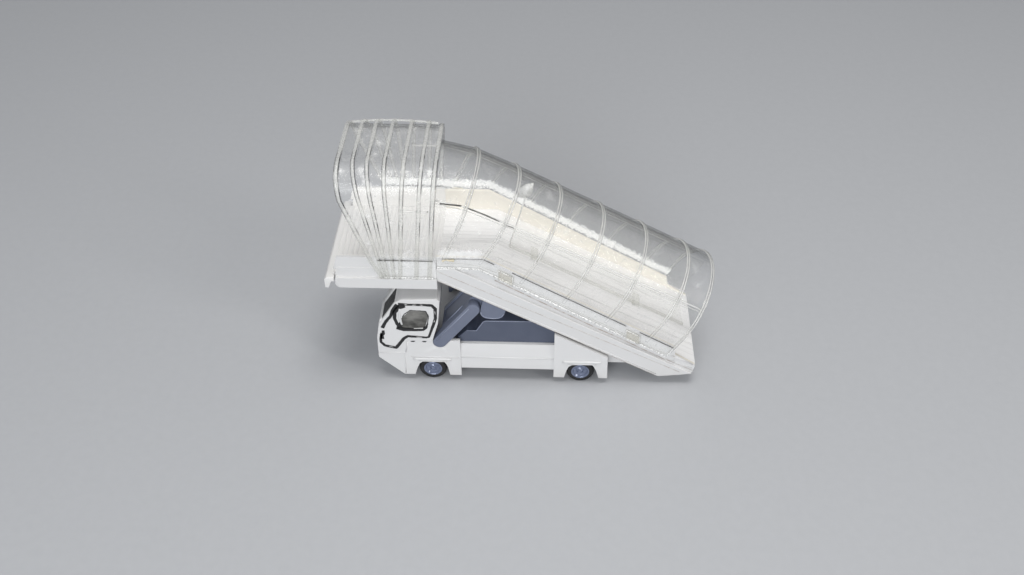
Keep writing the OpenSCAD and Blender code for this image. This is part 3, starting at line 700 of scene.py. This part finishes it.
clear_walls = {"canopy_hood": clear_moulding("clear_hood", (0.996, 0.996, 0.996), 0.46),
    "canopy_tunnel": clear_moulding("clear_tunnel", (0.996, 0.996, 0.996), 0.18),
    "centre_screen": clear_moulding("clear_screen", (0.99, 0.99, 0.985), 0.10,
        edge=(0.80, 0.80, 0.80), glint=0.01)}
for name, clear in clear_walls.items():
    finished([name], clear)
    even_faced(nodes[name])
    # clear walls throw no shadow to speak of on the stairs inside
    nodes[name].visible_shadow = False

# Hood ribs: every rib of the hood is a rounded bead of the same clear plastic. Thick as it is,
# it looks pale grey, and its rear flank is painted dark in stretches on the left side, as
# painted shade.
def clear_bead(name, pale, dark, body):
    """pale shows through the bead, dark through its rear flank; body is how milky it is."""
    f = Finish(name)
    patchy = f.step(f.grain(0.5, 3, 0.6), 0.36, 0.56)
    fine = f.grain(4.0, 3, 0.6)
    above = over_boards(f)[1]
    left = 1 - f.step(f.along("Y"), -3.0, 0.0)
    # flank: where the rear flank is painted dark, a painted shade
    flank = f.step(f.facing("X"), 0.45, 0.80) * patchy * left * f.step(above, 2.4, 4.6)
    milky = body * (0.55 + 0.6 * fine) * (1 - 0.9 * flank) * (0.35 + 0.65 * f.step(above, 1.0, 5.5))
    haze = f.plastic({"Base Color": (0.86, 0.86, 0.84), "Roughness": 0.25 + 0.3 * fine,
        "Coat Weight": 0.6, "Coat Roughness": 0.1, "Normal": f.bump(fine, 0.5, 0.00008)})
    through = f.mixed(flank, f.seen_through(pale), f.seen_through(dark))
    return f.ends_in(f.mixed(milky, through, haze))

rib_foot, hood_half = 17.1, 7.4
shoulder_y, shoulder_z, shoulder_radius, first_turn = 3.360, 27.5, 3.4, math.radians(4.5)

def hood_wall(x_of, inset=0.0, crest=0.0):
    """Points of one rib round the hood, from the left foot over the roof to the right foot. x_of
    gives x at a height, and crest lifts the rib over the roof."""
    half = [(hood_half - inset, rib_foot), (hood_half - inset, 19.5)]
    for i in range(13):
        turn = first_turn + (math.pi / 2 - first_turn) * i / 12
        radius = shoulder_radius - inset + crest * math.sin(turn) ** 3
        half.append((shoulder_y + radius * math.cos(turn), shoulder_z + radius * math.sin(turn)))
    loop = [(-y, z) for y, z in half] + [(y, z) for y, z in reversed(half)]
    return [(x_of(z), y, z) for y, z in loop]

def outward(loop):
    """Directions square to a loop round the hood or the tunnel, away from its middle."""
    def out(i):
        a, b = loop[max(i - 1, 0)], loop[min(i + 1, len(loop) - 1)]
        return Vector([q - p for p, q in zip(a, b)]).cross(Vector((1, 0, 0)))
    return out

rim = ((17.0, -6.80), (17.8, -7.21), (19.83, -8.05), (27.5, -10.80), (30.0, -11.15),
    (34.0, -11.15))

def rim_x(z):
    """The hood's front rim leans forward, then stands up: x at a height from points (z, x)."""
    for (z0, x0), (z1, x1) in zip(rim, rim[1:]):
        if z <= z1:
            return x0 + (x1 - x0) * (z - z0) / (z1 - z0)

ribs = (  # x at the root, x at the roof
    (-7.13, -9.4), (-6.45, -7.75), (-5.49, -5.8), (-4.48, -3.6), (-2.55, -1.6))
rib_root, rib_rise = 20.1, 11.4
beads = bmesh.new()
for root_x, roof_x in ribs:
    leans = (roof_x - root_x) / rib_rise
    loop = hood_wall(lambda z: root_x + (z - rib_root) * leans, inset=-0.02, crest=0.50)
    bead(beads, loop, 0.25, 8, 0.7, outward(loop))
loop = hood_wall(rim_x, inset=0.02, crest=0.25)
bead(beads, loop, 0.30, 8, 0.7, outward(loop))
# the roof's far shoulder is thicker and arches a little from end to end
arch_rise, arch_mid, arch_half = 0.34, -6.0, 5.1
bead(beads, [(x, 5.61, 30.26 + arch_rise * (1 - ((x - arch_mid) / arch_half) ** 2))
    for x in (-11.0, -9.8, -8.4, -7.0, -5.6, -4.2, -2.8, -1.6, -0.5)], 0.16, 8, ragged=0.5)
# the rearmost rib leans back a little, as the tunnel's front edge behind it does
rear_rib_x, rear_rib_z, rear_lean = -1.0, 20.3, 0.0819
loop = hood_wall(lambda z: rear_rib_x + (z - rear_rib_z) * rear_lean)
bead(beads, loop, 0.27, 8, 0.7, outward(loop))
rib_clear = clear_bead("clear_rib", (0.95, 0.95, 0.94), (0.20, 0.20, 0.21), 0.34)
made("hood_ribs", beads, rib_clear)

# Hoops: the tunnel's twin hoops stand on leaning planes, and a waist bead runs along each flank
# from hoop to hoop, all moulded with the wall. They are thinner than the hood's ribs and hardly
# grey over white.
def meets(spot, fall, foot, lean):
    """Where a line through spot, falling at fall degrees, crosses the plane through foot that
    leans by lean degrees."""
    fall, lean = math.radians(fall), math.radians(lean)
    run = Vector((math.cos(fall), -math.sin(fall)))
    square = Vector((math.cos(lean), -math.sin(lean)))
    return spot + run * ((foot - spot).dot(square) / run.dot(square))

main_fall, main_lean = 28.3, 30.494
bend, front_foot = Vector((bend_x, sill_z)), Vector((0.5, sill_z))
frame_foot = Vector((-0.75, 20.3))
main_spring = Vector(over_sill(0, 0.91))
middle_spring = meets(main_spring, main_fall, bend, 30.5)
upper_spring = meets(middle_spring, 26, front_foot, 23)
# each station is its spring point, the lean of its plane, the fall of the crown and its foot
stations = [(meets(upper_spring, 14, frame_foot, 4.68), 4.68, 14, frame_foot),
    (upper_spring, 23, 26, front_foot), (middle_spring, 30.5, main_fall, bend)]
for u in (5.55, 11.45, 17.45, 23.5, 27.04):
    foot = Vector(over_sill(u, 0))
    stations.append((meets(main_spring, main_fall, foot, main_lean), main_lean, main_fall, foot))

def on_arch(station, turn, radius):
    """The point of an arch at a turn in degrees up from the left spring line."""
    spring, lean, fall = station[:3]
    rise = radius * math.sin(math.radians(turn)) / math.cos(math.radians(lean - fall))
    return (spring[0] + rise * math.sin(math.radians(lean)),
        -radius * math.cos(math.radians(turn)), spring[1] + rise * math.cos(math.radians(lean)))

hoop_radius, waist_radius = 7.09, 6.98
hoops = bmesh.new()
for station in stations[1:]:
    fall, foot = math.radians(station[2]), station[3]
    loop = [(foot[0], -hoop_radius, foot[1])]
    loop += [on_arch(station, 5 * i, hoop_radius) for i in range(37)]
    loop.append((foot[0], hoop_radius, foot[1]))
    for shift in (-0.15, 0.15):
        twin = [(x + shift * math.cos(fall), y, z - shift * math.sin(fall)) for x, y, z in loop]
        bead(hoops, twin, 0.10, 8, 1.0, outward(twin))
for waist_turn in (36.0, 144.0):
    knots = [on_arch(station, waist_turn, waist_radius) for station in stations]
    rail = [tuple(p + (q - p) * k / 4 for p, q in zip(a, b))
        for a, b in zip(knots, knots[1:]) for k in range(4)] + knots[-1:]
    bead(hoops, rail, 0.11, 8, 1.0)
    bead(hoops, [(x, y * 1.01, z - 0.42) for x, y, z in rail], 0.06, 6, 1.0)
for hand in (-1, 1):
    bead(hoops, [(x, hand * 6.62, 26.32 - 0.02 * x) for x in (-4.2, -3.4, -2.6, -1.8, -0.95)],
        0.12, 8)
hoop_clear = clear_bead("clear_hoop", (0.96, 0.96, 0.95), (0.40, 0.40, 0.41), 0.50)
made("tunnel_hoops", hoops, hoop_clear)

# Waist gap: a dark line of painted shadow lies beside the left waist bead, near the platform. It
# is broken where the hoops cross it, and thins out down the flight.
gap = bmesh.new()
for radius, line in ((0.09, ((0.3, 26.90), (3.05, 26.62))),
        (0.065, ((3.5, 26.29), (5.44, 25.39), (7.2, 24.39))),
        (0.045, ((7.6, 24.05), (8.8, 23.49)))):
    bead(gap, drawn_at(-5.73, line), radius, 6, ragged=0.4)
made("waist_gap", gap, seam_shade_finish)

# Skirt edges: the clear walls hang over the boards and the coamings. Their lower edges are torn
# and frosted where they were trimmed.
def frosted():
    f = Finish("frosted_clear")
    tear = f.grain(4.2, 5, 0.7)
    white = f.blend(f.step(tear, 0.40, 0.52), (0.78, 0.775, 0.76), (0.92, 0.92, 0.91))
    haze = f.plastic({"Base Color": white, "Roughness": 0.2 + 0.4 * tear, "Coat Weight": 0.5,
        "Normal": f.bump(tear, 0.8, 0.0001)})
    return f.ends_in(f.mixed(0.30 + 0.60 * f.step(tear, 0.38, 0.56),
        f.seen_through((0.93, 0.93, 0.92)), haze))

frosted_clear = frosted()
long_edge = ((-0.3, 18.45), (2.1, 18.42), (4.6, 18.3), (7.9, 16.4), (12.8, 13.5), (18.7, 9.95),
    (23.4, 7.15), (27.6, 4.65))
edges = bmesh.new()
for hand in (-1, 1):
    bead(edges, drawn_at(hand * 6.98, long_edge), 0.15, 6, 0.7, ragged=0.6)
    bead(edges, drawn_at(hand * 7.03, ((28.42, 6.12), (27.62, 4.75))), 0.09, 6, ragged=0.2)
    bead(edges, [(x, hand * 7.36, 17.12) for x in (-6.5, -4.5, -2.5, -0.6)], 0.12, 6, 0.6,
        ragged=0.6)
made("skirt_edges", edges, frosted_clear, smooth=False)

# Skirt clips: two small clear clips on each side, one behind the landing and one near the foot,
# hold the skirt to the board. Glue has yellowed them a little, and their rims are frosted.
clip_length, clip_height, clip_out = 1.7, 1.35, 7.16
clips, clip_rims = bmesh.new(), bmesh.new()
for hand in (-1, 1):
    for x in (6.82, 22.4):
        top = sill_z - sill_fall * (x - bend_x) - 0.55
        low = top - clip_length * sill_fall
        corners = [(x, top), (x + clip_length, low), (x + clip_length, low - clip_height),
            (x, top - clip_height)]
        plate(clips, corners, hand * clip_out, hand * 7.0)
        for a, b in zip(corners, corners[1:] + corners[:1]):
            bead(clip_rims, drawn_at(hand * clip_out, (a, b)), 0.06, 6)
clip_clear = clear_bead("clear_clip", (0.95, 0.94, 0.91), (0.6, 0.58, 0.52), 0.50)
made("skirt_clips", clips, clip_clear, smooth=False)
made("skirt_clip_rims", clip_rims, frosted_clear)

# Skirt lines: a fine raised line runs along each skirt, below the top of the board, moulded in
# the clear wall and broken at the clips.
skirt_lines = (  # radius, points (x, z)
    (0.05, ((8.4, 16.62), (12.8, 14.03), (18.7, 10.5), (22.3, 8.4))),
    (0.05, ((24.4, 6.95), (27.9, 4.93))),
    (0.06, ((0.2, 19.2), (3.0, 19.1), (5.0, 18.7), (6.6, 17.9))))
grooves = bmesh.new()
for hand in (-1, 1):
    for radius, line in skirt_lines:
        bead(grooves, drawn_at(hand * 7.04, line), radius, 6)
made("skirt_lines", grooves, hoop_clear)

# Screen fin: the clear screen between the two lanes has a frosted fin at its upper front corner,
# where it was broken off the sprue, and a rough front edge below it.
fin = bmesh.new()
plate(fin, [(8.81, 23.82), (9.14, 25.08), (9.9, 25.63), (10.8, 25.84), (10.68, 24.68),
    (10.45, 23.99), (9.69, 23.71)], -0.1, 0.1)
bead(fin, drawn_at(0, ((7.85, 16.3), (8.7, 19.5), (10.3, 25.5))), 0.09, 6, ragged=0.3)
fin_clear = clear_bead("clear_fin", (0.90, 0.90, 0.89), (0.5, 0.5, 0.5), 1.0)
made("screen_fin", fin, fin_clear)

# Screen foot: the screen stands on the flight on a thick clear foot along its whole length, with
# two small blocks across it, and is glued there.
landing_z, landing_end, flight_fall = 17.06, 6.2, 0.559

def flight_top(x):
    """Height of the sloping flight's upper face, behind the level landing."""
    return landing_z - flight_fall * (x - landing_end)

foot_of_screen = bmesh.new()
bead(foot_of_screen, [(x, 0, flight_top(x) + 0.12) for x in (7.9, 12, 18, 24, 30.3)], 0.26, 8, 0.9)
for x in (10.5, 23.5):
    z = flight_top(x)
    plate(foot_of_screen, [(x, z), (x, z + 1.3), (x + 0.9, z + 0.8), (x + 0.9, z - 0.5)],
        -0.5, 0.5)
foot_clear = clear_bead("clear_foot", (0.95, 0.95, 0.94), (0.62, 0.62, 0.62), 0.30)
made("screen_foot", foot_of_screen, foot_clear)

# Glue: a little old glue has run out of the tunnel's seams at their front end. It has set in
# yellow, lumpy smears on both sides.
def old_glue():
    f = Finish("old_glue")
    thick = f.grain(2.5, 3)
    return f.ends_in(f.plastic({
        "Base Color": f.blend(thick, (0.66, 0.56, 0.36), (0.80, 0.75, 0.62)),
        "Roughness": 0.25 + 0.2 * thick, "Normal": f.bump(thick, 0.6)}))

smears = bmesh.new()
for hand in (-1, 1):
    bead(smears, drawn_at(hand * 7.03, ((0.35, 19.5), (0.7, 19.75), (1.2, 19.62), (1.8, 19.66))),
        0.17, 6, 0.4, ragged=0.8)
made("glue_smears", smears, old_glue())
